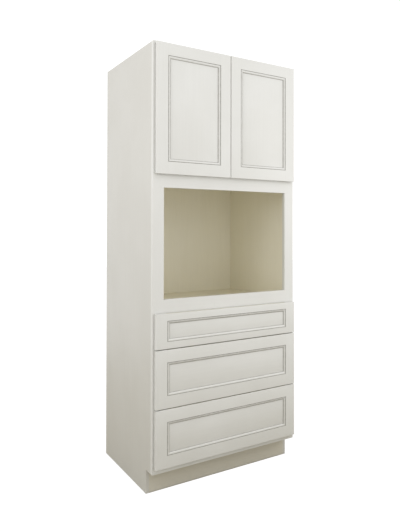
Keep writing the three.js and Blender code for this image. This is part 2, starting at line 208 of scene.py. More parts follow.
def front_paint(name, grain, wash_low, wash_high, in_corner, in_quirk, rim=None):
    """Paint of the doors and drawer fronts, with grey glaze lying in the profile. Each
    vertex carries how far it is from the front's four edges, and the member widths.
    The numbers say how much glaze lies on the bead, in the panel's corner and in
    the quirk; set apart per member, they also paint shade and light on the profile.
    rim is a painted shade tint on the front's outer edge faces, for the dark gaps between fronts."""
    k = Look(name)
    colour, fibre, stipple, height = paint_tone(k, grain)
    fx = k.split(k.node("ShaderNodeAttribute", attribute_name="front_x").outputs["Vector"])
    fz = k.split(k.node("ShaderNodeAttribute", attribute_name="front_z").outputs["Vector"])
    across = k.math("MINIMUM", fx[0], fx[1])
    up = k.math("MINIMUM", fz[0], fz[1])
    in_x = k.math("SUBTRACT", across, fx[2])
    in_z = k.math("SUBTRACT", up, fz[2])
    d = k.math("MINIMUM", in_x, in_z)
    blot = k.noise(k.here(), 48.0, 4.0, 0.62)
    fine = k.noise(k.here(), 310.0, 2.0, 0.5)
    # the quirk beside the flat
    off = k.math("ABSOLUTE", k.math("SUBTRACT", d, 1.2 * MM))
    quirk = k.step(off, 0.9 * MM, 1.9 * MM, 1.0, 0.0)
    # the corner where the bead meets the panel
    off = k.math("ABSOLUTE", k.math("SUBTRACT", d, (BEAD_W - 0.4) * MM))
    corner = k.step(off, 0.8 * MM, 2.0 * MM, 1.0, 0.0)
    # a thin wash left on the bead between them
    off = k.math("ABSOLUTE", k.math("SUBTRACT", d, 0.55 * BEAD_W * MM))
    wash = k.step(off, 5.0 * MM, 8.0 * MM, 1.0, 0.0)
    # hairlines where the rails meet the stiles
    line = k.step(k.math("ABSOLUTE", in_x), 0.10 * MM, 0.40 * MM, 1.0, 0.0)
    line = k.math("MULTIPLY", line, k.step(in_z, -0.5 * MM, 0.0, 1.0, 0.0))
    # worn outer arris, on the face only
    edge = k.step(k.math("ABSOLUTE", k.math("SUBTRACT", k.math("MINIMUM", across, up), 0.8 * MM)), 0.3 * MM, 0.9 * MM, 1.0, 0.0)
    patch = k.step(blot, 0.30, 0.62, 0.74, 1.0)
    strength = k.math("MULTIPLY", k.math("MAXIMUM", k.math("MULTIPLY", quirk, in_quirk), k.math("MULTIPLY", corner, in_corner)), patch)
    strength = k.math("MAXIMUM", strength, k.math("MULTIPLY", wash, k.linear(blot, 0.3, 0.7, wash_low, wash_high)))
    strength = k.math("MAXIMUM", strength, k.math("MULTIPLY", line, 0.06))
    strength = k.math("MAXIMUM", strength, k.math("MULTIPLY", edge, k.step(fine, 0.45, 0.75, 0.0, 0.03)))
    # the glaze is wiped on the face only, and the back is plain paint
    strength = k.math("MULTIPLY", strength, k.step(k.split(k.here())[1], (Y_FRONT + 7.5) * MM, (Y_FRONT + 9.0) * MM, 1.0, 0.04))
    colour = k.mix(strength, colour, GLAZE_AND_SHADE)
    if rim:
        # painted shade: a darker, warmer tint on the outer edge faces behind the arris, for the dark gaps between
        # fronts
        edges = k.math("MULTIPLY", k.step(k.math("MINIMUM", across, up), 0.15 * MM, 0.45 * MM, 1.0, 0.0),
                       k.step(k.split(k.here())[1], (Y_FRONT + 1.0) * MM, (Y_FRONT + 2.0) * MM))
        colour = k.mix(edges, colour, k.mix(1.0, colour, rim, "MULTIPLY"))
    rough = k.math("ADD", k.linear(stipple, 0.3, 0.7, 0.40, 0.47), k.math("MULTIPLY", strength, 0.18))
    height = k.math("SUBTRACT", height, k.math("MULTIPLY", line, 1.3))
    return k.done(colour, rough, k.bump(height, 0.30, 0.00012))


def frame_paint(name, grain, tint=(1.0, 1.0, 1.0), foot=0.0):
    """The same paint on plain members and boards. A board that stands on the floor can have a
    painted contact shadow, a dark noisy rim along its foot."""
    k = Look(name)
    colour, fibre, stipple, height = paint_tone(k, grain)
    colour = k.mix(1.0, colour, tint, "MULTIPLY")
    if foot:
        # painted contact shadow: the lowest few millimetres darkened towards the glaze colour, broken up by noise
        z = k.split(k.here())[2]
        contact_shadow_noise = k.noise(k.here(), 60.0, 3.0, 0.6)
        rim = k.math("MULTIPLY", k.step(z, 3.0 * MM, 7.0 * MM, 1.0, 0.0), k.step(contact_shadow_noise, 0.25, 0.6, 0.8, 1.0))
        colour = k.mix(k.math("MULTIPLY", rim, foot), colour, GLAZE_AND_SHADE)
    rub = k.noise(k.here(), 11.0, 4.0, 0.6)
    rough = k.math("ADD", k.linear(stipple, 0.3, 0.7, 0.40, 0.47), k.linear(rub, 0.3, 0.7, -0.02, 0.04))
    return k.done(colour, rough, k.bump(height, 0.30, 0.00012))


VENEER_A = (0.797, 0.764, 0.643)
VENEER_B = (0.783, 0.749, 0.623)


def veneer_tone(k, grain, light=VENEER_A, dark=VENEER_B):
    """Clear-coated tan veneer: broad figure, fine pores and slow change from sheet to sheet."""
    squeeze = {"x": (1.1, 26.0, 26.0), "y": (26.0, 1.1, 26.0), "z": (26.0, 26.0, 1.1)}[grain]
    sway = {"x": (0.9, 3.4, 3.4), "y": (3.4, 0.9, 3.4), "z": (3.4, 3.4, 0.9)}[grain]
    pores = {"x": (9.0, 620.0, 620.0), "y": (620.0, 9.0, 620.0), "z": (620.0, 620.0, 9.0)}[grain]
    bend = k.noise(k.stretched(*sway), 1.0, 2.0, 0.5)
    shift = k.node("ShaderNodeCombineXYZ", {0: k.math("MULTIPLY", bend, 5.0), 1: k.math("MULTIPLY", bend, 5.0), 2: 0.0}).outputs[0]
    figure = k.noise(k.vadd(k.stretched(*squeeze), shift), 1.0, 4.0, 0.55, 0.25)
    pore = k.noise(k.stretched(*pores), 1.0, 2.0, 0.6)
    slow = k.noise(k.here(), 1.3, 2.0, 0.5)
    colour = k.mix(k.step(figure, 0.30, 0.72), light, dark)
    colour = k.shade(colour, k.linear(pore, 0.25, 0.75, 0.972, 1.018))
    colour = k.shade(colour, k.linear(slow, 0.3, 0.7, 0.98, 1.02))
    return colour, figure, pore


def veneer(name, grain, light=VENEER_A, dark=VENEER_B, rough=0.42):
    k = Look(name)
    colour, figure, pore = veneer_tone(k, grain, light, dark)
    height = k.math("ADD", k.math("MULTIPLY", figure, 0.3), k.math("MULTIPLY", pore, 0.7))
    return k.done(colour, k.linear(pore, 0.3, 0.7, rough, rough + 0.09), k.bump(height, 0.22, 0.0001))


def plies(k, across, thickness, count):
    """Layers of a plywood edge, counted along one distance."""
    band = k.math("FRACT", k.math("MULTIPLY", across, count / 2.0 / thickness))
    return k.step(k.math("ABSOLUTE", k.math("SUBTRACT", band, 0.5)), 0.22, 0.28)


def side_panel_look(name):
    """Painted outside, veneered inside, with bare plies at the rear and top edges."""
    k = Look(name)
    outside, fibre, stipple, height = paint_tone(k, "z")
    # painted shade: the outside is the fronts' paint darkened, for the less light the side gets
    outside = k.mix(1.0, outside, SIDE_SHADE_TINT, "MULTIPLY")
    inside, figure, pore = veneer_tone(k, "z")
    x, y, z = k.split(k.here())
    ax = k.math("ABSOLUTE", x)
    inner = k.step(ax, 0.40330, 0.40345, 1.0, 0.0)
    layer = plies(k, k.math("SUBTRACT", ax, X_SIDE * MM), 15.875 * MM, 11)
    raw, _, _ = veneer_tone(k, "z", (0.60, 0.47, 0.30), (0.50, 0.37, 0.22))
    raw = k.mix(layer, raw, k.shade(raw, k.linear(pore, 0.3, 0.7, 0.55, 0.68)))
    rear = k.step(y, 0.31545, 0.31560)
    top = k.step(z, 2.13320, 2.13340)
    bare = k.math("MAXIMUM", rear, top)
    shell = k.step(ax, 0.41855, 0.41880)
    bare = k.math("MULTIPLY", bare, k.math("SUBTRACT", 1.0, shell))
    colour = k.mix(inner, outside, inside)
    colour = k.mix(bare, colour, raw)
    rough = k.math("ADD", k.linear(stipple, 0.3, 0.7, 0.42, 0.49), k.math("MULTIPLY", bare, 0.22))
    both = k.math("ADD", k.math("MULTIPLY", height, 0.7), k.math("MULTIPLY", pore, k.math("MULTIPLY", inner, 0.4)))
    return k.done(colour, rough, k.bump(both, 0.28, 0.00012))


def back_panel_look(name):
    """Veneered towards the cupboards, bare plywood towards the wall and along its top edge."""
    k = Look(name)
    inside, figure, pore = veneer_tone(k, "z")
    raw, figure2, pore2 = veneer_tone(k, "z", (0.58, 0.46, 0.31), (0.47, 0.35, 0.22))
    x, y, z = k.split(k.here())
    top = k.step(z, 2.13300, 2.13320)
    behind = k.math("MAXIMUM", k.step(y, 0.3124, 0.3126), top)
    # knots and patches here and there on the bare face
    spot = k.cells(k.stretched(2.2, 2.2, 0.9), 1.0)
    raw = k.shade(raw, k.step(spot, 0.02, 0.10, 0.62, 1.0))
    layer = plies(k, k.math("SUBTRACT", y, Y_BACK_PANEL * MM), 6.35 * MM, 5)
    raw = k.shade(raw, k.linear(k.math("MULTIPLY", layer, top), 0.0, 1.0, 1.0, 0.62))
    colour = k.mix(behind, inside, raw)
    rough = k.math("ADD", k.linear(pore, 0.3, 0.7, 0.42, 0.51), k.math("MULTIPLY", behind, 0.2))
    return k.done(colour, rough, k.bump(pore, 0.25, 0.00012))


def top_panel_look(name):
    """Veneered towards the cupboard, bare plywood on top."""
    k = Look(name)
    inside, figure, pore = veneer_tone(k, "x")
    raw, figure2, pore2 = veneer_tone(k, "x", (0.58, 0.46, 0.31), (0.47, 0.35, 0.22))
    above = k.step(k.split(k.here())[2], (TOP_MID + 3.0) * MM, (TOP_MID + 3.2) * MM)
    colour = k.mix(above, inside, raw)
    rough = k.math("ADD", k.linear(pore, 0.3, 0.7, 0.42, 0.51), k.math("MULTIPLY", above, 0.16))
    return k.done(colour, rough, k.bump(pore, 0.25, 0.00012))


def birch(name, grain):
    """Clear-lacquered birch of the drawer boxes, with end grain where a board is cut across."""
    k = Look(name)
    colour, figure, pore = veneer_tone(k, grain, (0.700, 0.545, 0.345), (0.590, 0.430, 0.245))
    axis = {"x": 0, "y": 1, "z": 2}[grain]
    normal = k.split(k.node("ShaderNodeTexCoord").outputs["Normal"])
    end = k.step(k.math("ABSOLUTE", normal[axis]), 0.75, 0.95)
    rings = k.noise(k.here(), 240.0, 3.0, 0.6, 1.5)
    ended = k.mix(k.step(rings, 0.35, 0.65), (0.470, 0.315, 0.165), (0.360, 0.230, 0.115))
    colour = k.mix(end, colour, ended)
    rough = k.linear(pore, 0.3, 0.7, 0.34, 0.44)
    return k.done(colour, rough, k.bump(pore, 0.20, 0.0001), Coat_Weight=0.15, Coat_Roughness=0.25)


def metal(name, colour, rough, brushed="y", fleck=0.06, scratch=0.5):
    """Plated steel, drawn along one axis."""
    k = Look(name)
    along = {"x": (14.0, 1500.0, 1500.0), "y": (1500.0, 14.0, 1500.0), "z": (1500.0, 1500.0, 14.0)}[brushed]
    lines = k.noise(k.stretched(*along), 1.0, 3.0, 0.6)
    cloud = k.noise(k.here(), 60.0, 4.0, 0.6)
    speck = k.cells(k.here(), 420.0)
    tone = k.mix(k.step(cloud, 0.35, 0.65), colour, tuple(c * (1.0 - fleck * w) for c, w in zip(colour, (1.6, 1.3, 1.0))))
    tone = k.shade(tone, k.linear(speck, 0.0, 0.8, 0.96, 1.02))
    r = k.math("ADD", k.linear(lines, 0.25, 0.75, rough - 0.06, rough + 0.08), k.linear(cloud, 0.3, 0.7, -0.03, 0.05))
    return k.done(tone, r, k.bump(lines, scratch * 0.2, 0.00002), metal=1.0)


def bumper_look(name):
    k = Look(name)
    cloud = k.noise(k.here(), 900.0, 3.0, 0.6)
    colour = k.mix(cloud, (0.80, 0.79, 0.74), (0.70, 0.69, 0.64))
    return k.done(colour, k.linear(cloud, 0.3, 0.7, 0.22, 0.34), k.bump(cloud, 0.08, 0.00005),
                  Transmission_Weight=0.55, IOR=1.48)


def floor_look(name):
    """Pale floor, lit from within like a light table, so that it stays white up to the unit's foot."""
    k = Look(name)
    grit = k.noise(k.here(), 240.0, 2.0, 0.5)
    colour = k.mix(grit, (0.06, 0.06, 0.06), (0.05, 0.05, 0.05))
    return k.done(colour, 0.9, None, Emission_Color=(1.0, 1.0, 1.0, 1.0), Emission_Strength=1.0, Specular_IOR_Level=0.0)


def card_look(name):
    """Matt tan card on the floor under the lights."""
    k = Look(name)
    grit = k.noise(k.here(), 3.0, 2.0, 0.5)
    return k.done(k.mix(grit, (0.362, 0.329, 0.240), (0.347, 0.314, 0.228)), 0.9, None, Specular_IOR_Level=0.0)


# painted shade: the side panel's paint darkened from the fronts' paint
SIDE_SHADE_TINT = (0.860, 0.848, 0.825)
# the toe kick's paint, darker and warmer than the fronts': partly its own tone, partly painted shade of the recess
# under the drawers
KICK_TONE_AND_SHADE = (0.889, 0.850, 0.757)

M = {
    # the same glaze on all fronts, but the bead's wash is heavier on uprights than on level members: partly painted
    # shade on the upright beads
    "front_v": front_paint("front_paint_upright", "z", 0.09, 0.18, 0.75, 0.88),
    "front_h": front_paint("front_paint_level", "x", 0.01, 0.05, 0.55, 0.80),
    # drawer top rails: glaze with painted shade, and a painted shade tint on the top edge; drawer bottom rails: thin
    # glaze that paints light on the bead
    "front_h_full": front_paint("front_paint_level_full", "x", 0.17, 0.30, 0.86, 0.92, (0.88, 0.86, 0.74)),
    "front_h_thin": front_paint("front_paint_level_thin", "x", 0.0, 0.03, 0.50, 0.60),
    "frame_v": frame_paint("frame_paint_upright", "z"),
    "frame_h": frame_paint("frame_paint_level", "x"),
    # 0.35 is the strength of the painted contact shadow along the kick's foot
    "kick": frame_paint("kick_paint", "x", KICK_TONE_AND_SHADE, 0.35),
    "side": side_panel_look("side_panel_finish"),
    "back": back_panel_look("back_panel_finish"),
    "veneer_x": veneer("veneer_level", "x"),
    "top": top_panel_look("top_panel_finish"),
    "birch_x": birch("birch_across", "x"),
    "birch_y": birch("birch_along", "y"),
    "birch_ply": veneer("birch_plywood", "x", (0.690, 0.560, 0.380), (0.600, 0.465, 0.295), 0.40),
    "zinc": metal("zinc_plate", (0.60, 0.61, 0.62), 0.34, "y", 0.06, 0.6),
    "cage": metal("cage_strip", (0.52, 0.50, 0.44), 0.38, "y", 0.08, 0.4),
    "nickel": metal("nickel_plate", (0.68, 0.66, 0.61), 0.24, "z", 0.04, 0.3),
    "steel": metal("screw_steel", (0.56, 0.54, 0.48), 0.30, "z", 0.10, 0.4),
    "ball": metal("ball_steel", (0.70, 0.70, 0.70), 0.14, "y", 0.02, 0.1),
    "bumper": bumper_look("bumper_clear"),
    "floor": floor_look("floor_pale"),
    "card": card_look("card_tan"),
}


# --------------------------------------------------------------- geometry kit

def piece(name, verts, faces, look, body, slot=None, smooth=30.0, stands_for=()):
    """A closed mesh from points in millimetres, riding on a body."""
    mesh = bpy.data.meshes.new(name)
    bm = bmesh.new()
    made = [bm.verts.new((x * MM, y * MM, z * MM)) for x, y, z in verts]
    for f in faces:
        bm.faces.new([made[i] for i in f])
    bmesh.ops.recalc_face_normals(bm, faces=bm.faces)
    bm.to_mesh(mesh)
    bm.free()
    return settle(name, mesh, look, body, smooth, stands_for)


def settle(name, mesh, look, body, smooth=30.0, stands_for=()):
    """Gives a mesh its object, finish, shading and body."""
    mesh.name = name
    mesh.materials.clear()
    mesh.materials.append(M[look])
    if smooth is None:
        mesh.shade_flat()
    else:
        mesh.shade_smooth()
        mesh.set_sharp_from_angle(angle=math.radians(smooth))
    o = bpy.data.objects.new(name, mesh)
    bpy.context.scene.collection.objects.link(o)
    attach(o, body)
    if stands_for:
        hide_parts(*stands_for)
    return o


def soften(o, width, segments=2, angle=35.0):
    """Rounds a piece's arrises by width, in millimetres."""
    b = o.modifiers.new("arris", "BEVEL")
    b.width = width * MM
    b.segments = segments
    b.limit_method = "ANGLE"
    b.angle_limit = math.radians(angle)
    b.harden_normals = False
    return o


def curve_through(points, steps):
    """More points on a smooth line through the given ones, which all stay on it."""
    out = []
    for i in range(len(points) - 1):
        p0, p1, p2, p3 = points[max(i - 1, 0)], points[i], points[i + 1], points[min(i + 2, len(points) - 1)]
        for s in range(steps):
            t = s / steps
            out.append(tuple(
                0.5 * (2 * b + (c - a) * t + (2 * a - 5 * b + 4 * c - d) * t * t + (3 * b - a - 3 * c + d) * t ** 3)
                for a, b, c, d in zip(p0, p1, p2, p3)))
    out.append(points[-1])
    return out


def ring_of(n, r, cx=0.0, cy=0.0, turn=0.5):
    return [(cx + r * math.cos((i + turn) / n * 2 * math.pi), cy + r * math.sin((i + turn) / n * 2 * math.pi)) for i in range(n)]


def lathe(profile, n):
    """Turned shape about local Z: points (radius, height) from the bottom pole to the top pole."""
    verts, faces, rows = [], [], []
    for r, h in profile:
        if r < 1e-6:
            rows.append([len(verts)])
            verts.append((0.0, 0.0, h))
        else:
            rows.append(list(range(len(verts), len(verts) + n)))
            verts += [(x, y, h) for x, y in ring_of(n, r)]
    for a, b in zip(rows, rows[1:]):
        for i in range(n):
            j = (i + 1) % n
            if len(a) == 1:
                faces.append((a[0], b[j], b[i]))
            elif len(b) == 1:
                faces.append((a[i], a[j], b[0]))
            else:
                faces.append((a[i], a[j], b[j], b[i]))
    return verts, faces


def slab(outline, h0, h1):
    """An outline of (x, y) points raised from h0 to h1 along local Z."""
    n = len(outline)
    verts = [(x, y, h0) for x, y in outline] + [(x, y, h1) for x, y in outline]
    faces = [tuple(range(n))[::-1], tuple(range(n, 2 * n))]
    faces += [(i, (i + 1) % n, n + (i + 1) % n, n + i) for i in range(n)]
    return verts, faces


def stamped(shapes, places):
    """Copies of shapes, a list of (verts, faces), at each place, which maps a point to a point."""
    verts, faces = [], []
    for place in places:
        for v, f in shapes:
            base = len(verts)
            verts += [place(p) for p in v]
            faces += [tuple(base + i for i in g) for g in f]
    return verts, faces


def looking(axis, sign, at, spin=0.0):
    """A place whose local Z points along sign times a world axis, at a point, turned by spin."""
    ax = {"x": Vector((1, 0, 0)), "y": Vector((0, 1, 0)), "z": Vector((0, 0, 1))}[axis] * sign
    side = Vector((0, 0, 1)) if axis != "z" else Vector((1, 0, 0))
    u = side.cross(ax).normalized()
    w = ax.cross(u)
    c, s = math.cos(spin), math.sin(spin)
    u, w = u * c + w * s, w * c - u * s
    at = Vector(at)

    def put(p):
        q = at + u * p[0] + w * p[1] + ax * p[2]
        return (q.x, q.y, q.z)
    return put


def cut_with(o, *tools):
    """The piece's mesh less closed tool shapes, each (verts, faces) in millimetres."""
    for verts, faces in tools:
        mesh = bpy.data.meshes.new("tool")
        bm = bmesh.new()
        made = [bm.verts.new((x * MM, y * MM, z * MM)) for x, y, z in verts]
        for f in faces:
            bm.faces.new([made[i] for i in f])
        bmesh.ops.recalc_face_normals(bm, faces=bm.faces)
        bm.to_mesh(mesh)
        bm.free()
        tool = bpy.data.objects.new("tool", mesh)
        bpy.context.scene.collection.objects.link(tool)
        m = o.modifiers.new("cut", "BOOLEAN")
        m.operation, m.solver, m.object = "DIFFERENCE", "EXACT", tool
        dg = bpy.context.evaluated_depsgraph_get()
        done = bpy.data.meshes.new_from_object(o.evaluated_get(dg))
        o.modifiers.remove(m)
        old, o.data = o.data, done
        bpy.data.meshes.remove(old)
        bpy.data.objects.remove(tool)
        bpy.data.meshes.remove(mesh)
    return o


# ------------------------------------------------ doors and drawer fronts

def arc(cx, cy, rx, ry, a0, a1, n):
    return [(cx + rx * math.cos(math.radians(a0 + (a1 - a0) * i / n)),
             cy + ry * math.sin(math.radians(a0 + (a1 - a0) * i / n))) for i in range(n + 1)]


# (offset inwards from the outer edge, depth behind the face): rear arris, edge, front arris
OUTER = [(0.9, 19.0), (0.35, 18.8), (0.0, 18.1), (0.0, 1.5)] + \
    [(1.5 - 1.5 * math.cos(math.radians(a)), 1.5 - 1.5 * math.sin(math.radians(a))) for a in (18, 36, 54, 72, 90)]
# (offset inwards from the flat's inner edge, depth): quirk, bead, panel groove, back
BEAD = curve_through([(2.3, 0.95), (3.0, 0.68), (4.0, 0.6), (6.2, 0.8), (8.4, 1.5), (10.3, 2.6), (11.8, 3.9), (12.9, 5.2), (13.4, 6.25)], 3)
STICKING = [(0.0, 0.0), (0.12, 0.25), (0.22, 1.15), (0.45, 1.62), (1.0, 1.86), (1.55, 1.75), (2.0, 1.36)] + BEAD + [
    (3.4, 6.3), (3.4, 12.1), (13.4, 12.1), (13.4, 18.5), (13.0, 19.0)]
JOINT_GAP = 0.06


def front_member(kind, r, stile, rail):
    """One member of a front, with the profile round its edges. A stile runs full height
    and a rail stands between the stiles; the bead meets in mitres."""
    verts, faces = [], []
    y = lambda depth: Y_FRONT + depth

    def add(x, depth, z):
        verts.append((x, y(depth), z))
        return len(verts) - 1

    flip_x, flip_z = kind == "right", kind == "top"
    fx = (lambda x: r["x0"] + r["x1"] - x) if flip_x else (lambda x: x)
    fz = (lambda z: r["z0"] + r["z1"] - z) if flip_z else (lambda z: z)
    x0, x1, z0, z1 = r["x0"], r["x1"], r["z0"], r["z1"]
    if kind in ("left", "right"):
        xs = x0 + stile
        P = [[add(fx(xs), d_y[1], z0 + d_y[0]), add(fx(x0 + d_y[0]), d_y[1], z0 + d_y[0]),
              add(fx(x0 + d_y[0]), d_y[1], z1 - d_y[0]), add(fx(xs), d_y[1], z1 - d_y[0])] for d_y in OUTER]
        Q = [[add(fx(xs + d), dep, z0 + rail + d), add(fx(xs + d), dep, z1 - rail - d)] for d, dep in STICKING]
        b = [add(fx(xs), 19.0, z0 + rail), add(fx(xs), 19.0, z1 - rail)]
        for p, q in zip(P, P[1:]):
            for i in range(3):
                faces.append((p[i], p[i + 1], q[i + 1], q[i]))
        for p, q in zip(Q, Q[1:]):
            faces.append((p[0], p[1], q[1], q[0]))
        faces.append((P[-1][0], P[-1][1], P[-1][2], P[-1][3], Q[0][1], Q[0][0]))
        faces.append((P[0][0], P[0][1], P[0][2], P[0][3], b[1], Q[-1][1], Q[-1][0], b[0]))
        faces.append(tuple(p[0] for p in P) + (Q[0][0], b[0]))
        faces.append(tuple(p[3] for p in P) + (Q[0][1], b[1]))
        faces.append(tuple(q[0] for q in Q) + (b[0],))
        faces.append(tuple(q[1] for q in Q) + (b[1],))
    else:
        xa, xb = x0 + stile + JOINT_GAP, x1 - stile - JOINT_GAP
        P = [[add(xa, dep, fz(z0 + d)), add(xb, dep, fz(z0 + d))] for d, dep in OUTER]
        Q = [[add(xa + d, dep, fz(z0 + rail + d)), add(xb - d, dep, fz(z0 + rail + d))] for d, dep in STICKING]
        b = [add(xa, 19.0, fz(z0 + rail)), add(xb, 19.0, fz(z0 + rail))]
        for p, q in list(zip(P, P[1:])) + list(zip(Q, Q[1:])):
            faces.append((p[0], p[1], q[1], q[0]))
        faces.append((P[-1][0], P[-1][1], Q[0][1], Q[0][0]))
        faces.append((P[0][0], P[0][1], b[1], Q[-1][1], Q[-1][0], b[0]))
        for e in (0, 1):
            faces.append(tuple(p[e] for p in P) + (Q[0][e], b[e]))
            faces.append(tuple(q[e] for q in Q) + (b[e],))
    return verts, faces


def mark_front(o, r, stile, rail):
    """Stores each vertex's distance to the front's edges, in metres, for its paint."""
    mesh = o.data
    fx = mesh.attributes.new("front_x", "FLOAT_VECTOR", "POINT")
    fz = mesh.attributes.new("front_z", "FLOAT_VECTOR", "POINT")
    a, b = [], []
    for v in mesh.vertices:
        a += [v.co.x - r["x0"] * MM, r["x1"] * MM - v.co.x, stile * MM]
        b += [v.co.z - r["z0"] * MM, r["z1"] * MM - v.co.z, rail * MM]
    fx.data.foreach_set("vector", a)
    fz.data.foreach_set("vector", b)


def front_panel(r, stile, rail):
    """The flat panel, with its edges eased where they enter the groove."""
    x0, x1 = r["x0"] + stile + 4.6, r["x1"] - stile - 4.6
    z0, z1 = r["z0"] + rail + 4.6, r["z1"] - rail - 4.6
    a, b = PANEL_DEPTH, PANEL_DEPTH + PANEL_THICK
    rows = [(0.7, a), (0.2, a + 0.2), (0.0, a + 0.8), (0.0, b - 0.8), (0.2, b - 0.2), (0.7, b)]
    verts, faces = [], []
    for d, dep in rows:
        verts += [(x0 + d, Y_FRONT + dep, z0 + d), (x1 - d, Y_FRONT + dep, z0 + d),
                  (x1 - d, Y_FRONT + dep, z1 - d), (x0 + d, Y_FRONT + dep, z1 - d)]
    for i in range(len(rows) - 1):
        for k in range(4):
            l = (k + 1) % 4
            faces.append((4 * i + k, 4 * i + l, 4 * i + 4 + l, 4 * i + 4 + k))
    faces.append((0, 1, 2, 3))
    n = 4 * (len(rows) - 1)
    faces.append((n, n + 1, n + 2, n + 3))
    return verts, faces


def cup_bore(x, z):
    return stamped([slab(ring_of(48, CUP_R + 0.3), 0.0, 14.0)], [looking("y", -1, (x, Y_FRONT_BACK + 2.0, z))])


def make_front(prefix, body, r, stile, rail, names, panel_look, bores=()):
    for kind, name in names.items():
        verts, faces = front_member(kind, r, stile, rail)
        look = "front_v" if kind in ("left", "right") else "front_h"
        if prefix.startswith("drawer"):
            # heavier glaze on a drawer's top rail paints the shade on its downward-facing bead, and thinner glaze on
            # its bottom rail paints the light on its upward-facing bead
            look = {"top": "front_h_full", "bottom": "front_h_thin"}.get(kind, look)
        o = piece(name, verts, faces, look, body, "painted_front", 28.0, (f"{prefix}_frame",))
        if bores and kind == bores[0]:
            cut_with(o, *[cup_bore(x, z) for x, z in bores[1]])
            o.data.shade_smooth()
            o.data.set_sharp_from_angle(angle=math.radians(28.0))
        mark_front(o, r, stile, rail)
    verts, faces = front_panel(r, stile, rail)
    o = piece(f"{prefix}_flat_panel", verts, faces, panel_look, body, "painted_front", 28.0, (f"{prefix}_panel",))
    mark_front(o, r, stile, rail)


for side in ("left", "right"):
    r = dict(DOOR)
    if side == "left":
        r["x0"], r["x1"] = -DOOR["x1"], -DOOR["x0"]
    hinge_side = side
    meeting = "right" if side == "left" else "left"
    cup_x = (DOOR["x1"] - CUP_U) * (1 if side == "right" else -1)
    names = {hinge_side: f"{side}_door_hinge_stile", meeting: f"{side}_door_meeting_stile",
             "bottom": f"{side}_door_bottom_rail", "top": f"{side}_door_top_rail"}
    make_front(f"{side}_door", f"{side}_door", r, *DOOR_MEMBER, names, "front_v",
               (hinge_side, [(cup_x, z) for z in HINGE_Z]))

for n, d in enumerate(DRAWERS, 1):
    names = {k: f"drawer_{n}_front_{w}" for k, w in
             {"left": "left_stile", "right": "right_stile", "bottom": "bottom_rail", "top": "top_rail"}.items()}
    make_front(f"drawer_{n}_front", f"drawer_{n}", d, d["stile"], d["rail"], names, "front_h")


# ------------------------------------------------------------- CAD node looks

def dress(name, look, arris=None, smooth=30.0):
    """A better finish, and softened arrises, on a CAD node that keeps its place and mesh."""
    o = NODES[name]
    if not o.material_slots:
        o.data.materials.append(None)
    for s in o.material_slots:
        s.link = "OBJECT"
        s.material = M[look]
    w = o.modifiers.new("weld", "WELD")
    w.merge_threshold = 0.00001
    if arris:
        soften(o, arris)
    if smooth is not None:
        n = o.modifiers.new("normals", "WEIGHTED_NORMAL")
        n.keep_sharp = True


for side in ("left", "right"):
    dress(f"{side}_side_panel", "side", 0.5)
    dress(f"{side}_stile", "frame_v", 0.3)
    for level in ("lower", "upper"):
        for part in ("hinge_cup", "hinge_arm", "hinge_plate"):
            dress(f"{side}_{level}_{part}", "nickel")
for name in ("top_rail", "rail_above_oven", "rail_below_oven", "upper_drawer_rail", "lower_drawer_rail", "bottom_rail"):
    dress(name, "frame_h", 0.25)
dress("toe_kick_board", "kick", 0.6)
dress("back_panel", "back", 0.5)
dress("top_panel", "top", 0.5)
for name in ("upper_floor_panel", "oven_deck_panel", "bottom_panel", "adjustable_shelf"):
    dress(name, "veneer_x", 0.5)
for n in (1, 2, 3):
    for side in ("left", "right"):
        for part in ("cabinet_member", "middle_member", "drawer_member"):
            dress(f"drawer_{n}_{side}_slide_{part}", "zinc")

# --------------------------------------------------------------- drawer boxes

def ease_top(o, z, width):
    """Rounds only the edges that lie at height z."""
    mesh = o.data
    w = mesh.attributes.new("bevel_weight_edge", "FLOAT", "EDGE")
    for e in mesh.edges:
        a, b = (mesh.vertices[i].co for i in e.vertices)
        if abs(a.z - z * MM) < 1e-6 and abs(b.z - z * MM) < 1e-6 and (a - b).length > 0.05:
            w.data[e.index].value = 1.0
    b = o.modifiers.new("top_edge", "BEVEL")
    b.width, b.segments, b.limit_method = width * MM, 3, "WEIGHT"
    return o


def tails(b0, b1):
    """Heights (z0, z1 at the board's end, z0, z1 at the shoulder) of the dovetails."""
    n = max(3, round((b1 - b0) / 27.5))
    p = (b1 - b0) / n
    return [(b0 + p * (i + 0.5) - 0.31 * p, b0 + p * (i + 0.5) + 0.31 * p,
             b0 + p * (i + 0.5) - 0.21 * p, b0 + p * (i + 0.5) + 0.21 * p) for i in range(n)]


def drawer_side(sign, b0, b1):
    """A side board, with dovetails cut on both ends."""
    ya, yb, t = BOX_Y0, BOX_Y0 + BOX_LEN, BOX_SIDE
    front, rear = [], []
    for e0, e1, s0, s1 in tails(b0, b1):
        front += [(ya + t, s0), (ya, e0), (ya, e1), (ya + t, s1)]
        rear += [(yb - t, s0), (yb, e0), (yb, e1), (yb - t, s1)]
    outline = [(ya + t, b0)] + front + [(ya + t, b1), (yb - t, b1)] + rear[::-1] + [(yb - t, b0)]
    n = len(outline)
    x0, x1 = sign * (BOX_X - t), sign * BOX_X
    verts = [(x0, y, z) for y, z in outline] + [(x1, y, z) for y, z in outline]
    faces = [tuple(range(n)), tuple(range(n, 2 * n))] + [(i, (i + 1) % n, n + (i + 1) % n, n + i) for i in range(n)]
    return verts, faces


